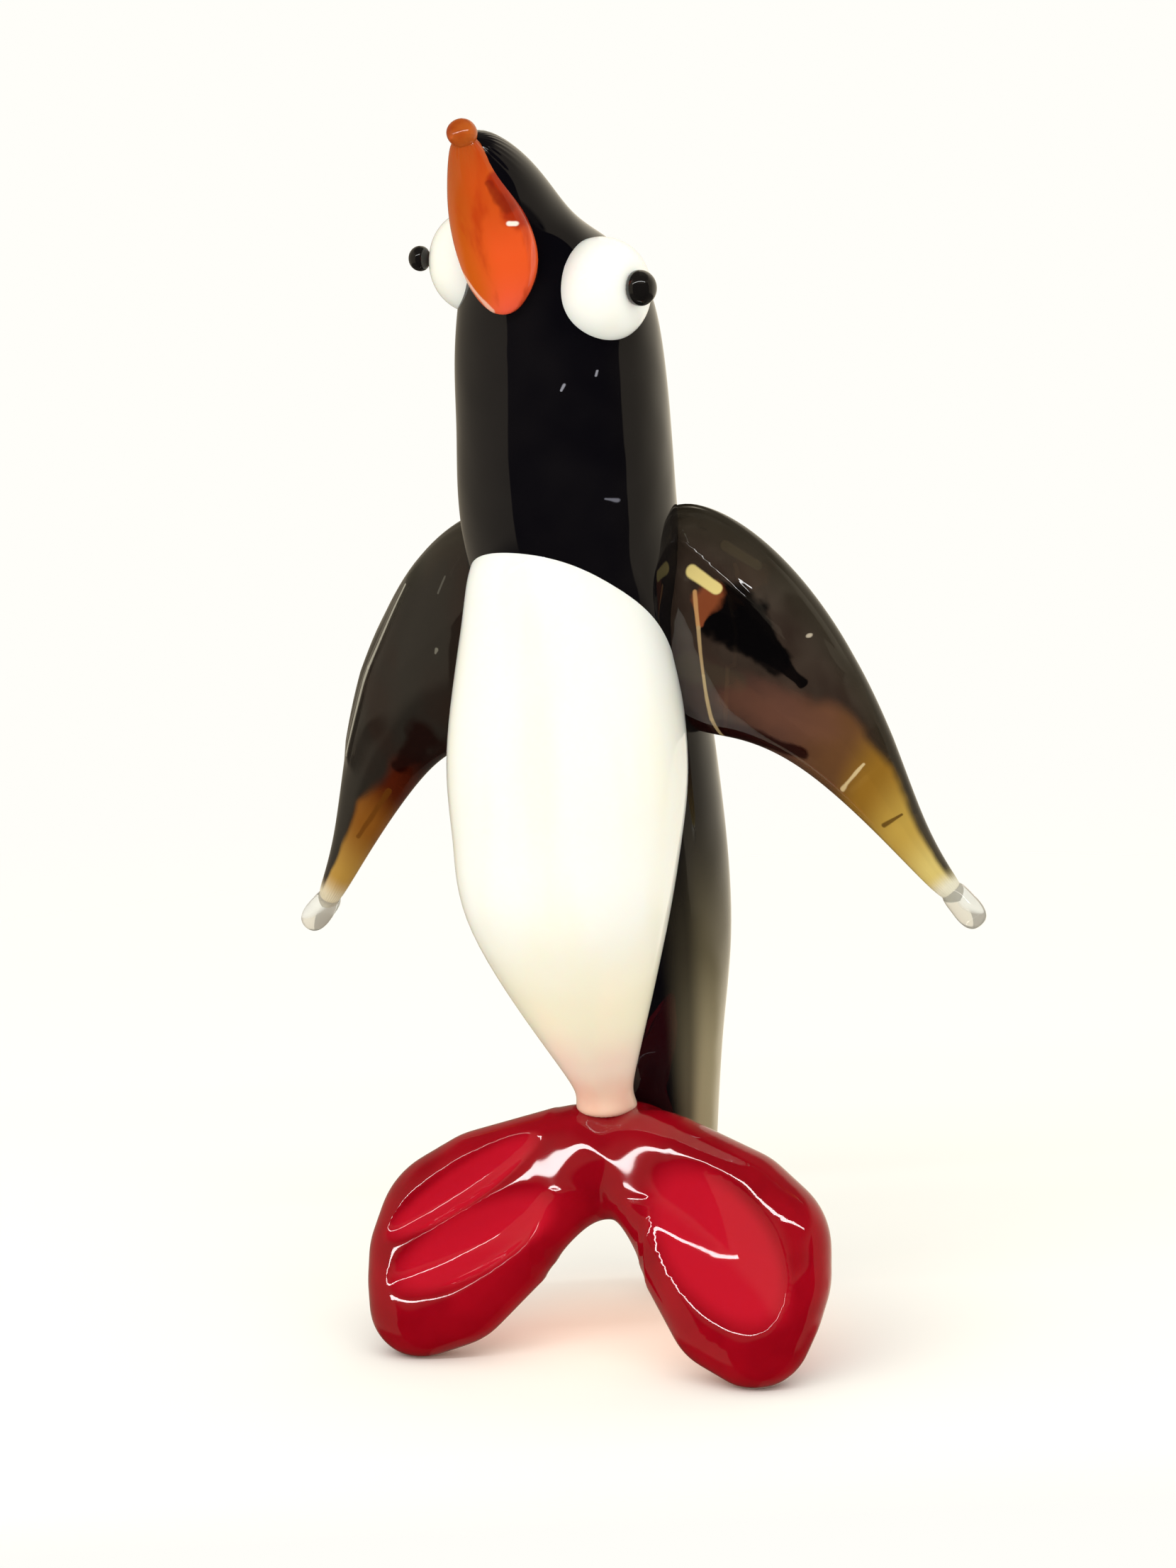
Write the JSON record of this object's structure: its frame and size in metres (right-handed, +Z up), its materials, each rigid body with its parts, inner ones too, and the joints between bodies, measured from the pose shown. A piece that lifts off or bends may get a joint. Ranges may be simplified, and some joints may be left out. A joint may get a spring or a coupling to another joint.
{
  "type": "glass penguin figurine",
  "caption": "Small flame-worked glass penguin looking up with its wings spread, standing on pressed red feet and its tail.",
  "frame": {"origin": "on the table, under the middle of the bounding box", "axes": "+Z up, -Y the way the penguin faces, +X its left side"},
  "size_m": [0.0428, 0.0214, 0.0698],
  "materials": {
    "black_glass": "opaque, fire polished",
    "white_glass": "opaque, fire polished",
    "orange_glass": "opaque with darker streaks, fire polished",
    "amber_glass": "translucent, fire polished",
    "brown_glass": "translucent dark brown, fire polished",
    "clear_glass": "clear, fire polished",
    "red_glass": "translucent red, fire polished"
  },
  "bodies": {
    "root": {"body": "black_glass", "belly": "white_glass", "lower_beak": "orange_glass", "beak_bead": "amber_glass", "left_eye": "white_glass", "right_eye": "white_glass", "left_pupil": "black_glass", "right_pupil": "black_glass", "left_wing_blade": "brown_glass", "right_wing_blade": "brown_glass", "left_wing_lining": "amber_glass", "right_wing_lining": "amber_glass", "left_wing_bead": "clear_glass", "right_wing_bead": "clear_glass", "foot_bar": "red_glass", "left_foot": "red_glass", "right_foot": "red_glass"}
  },
  "joints": []
}
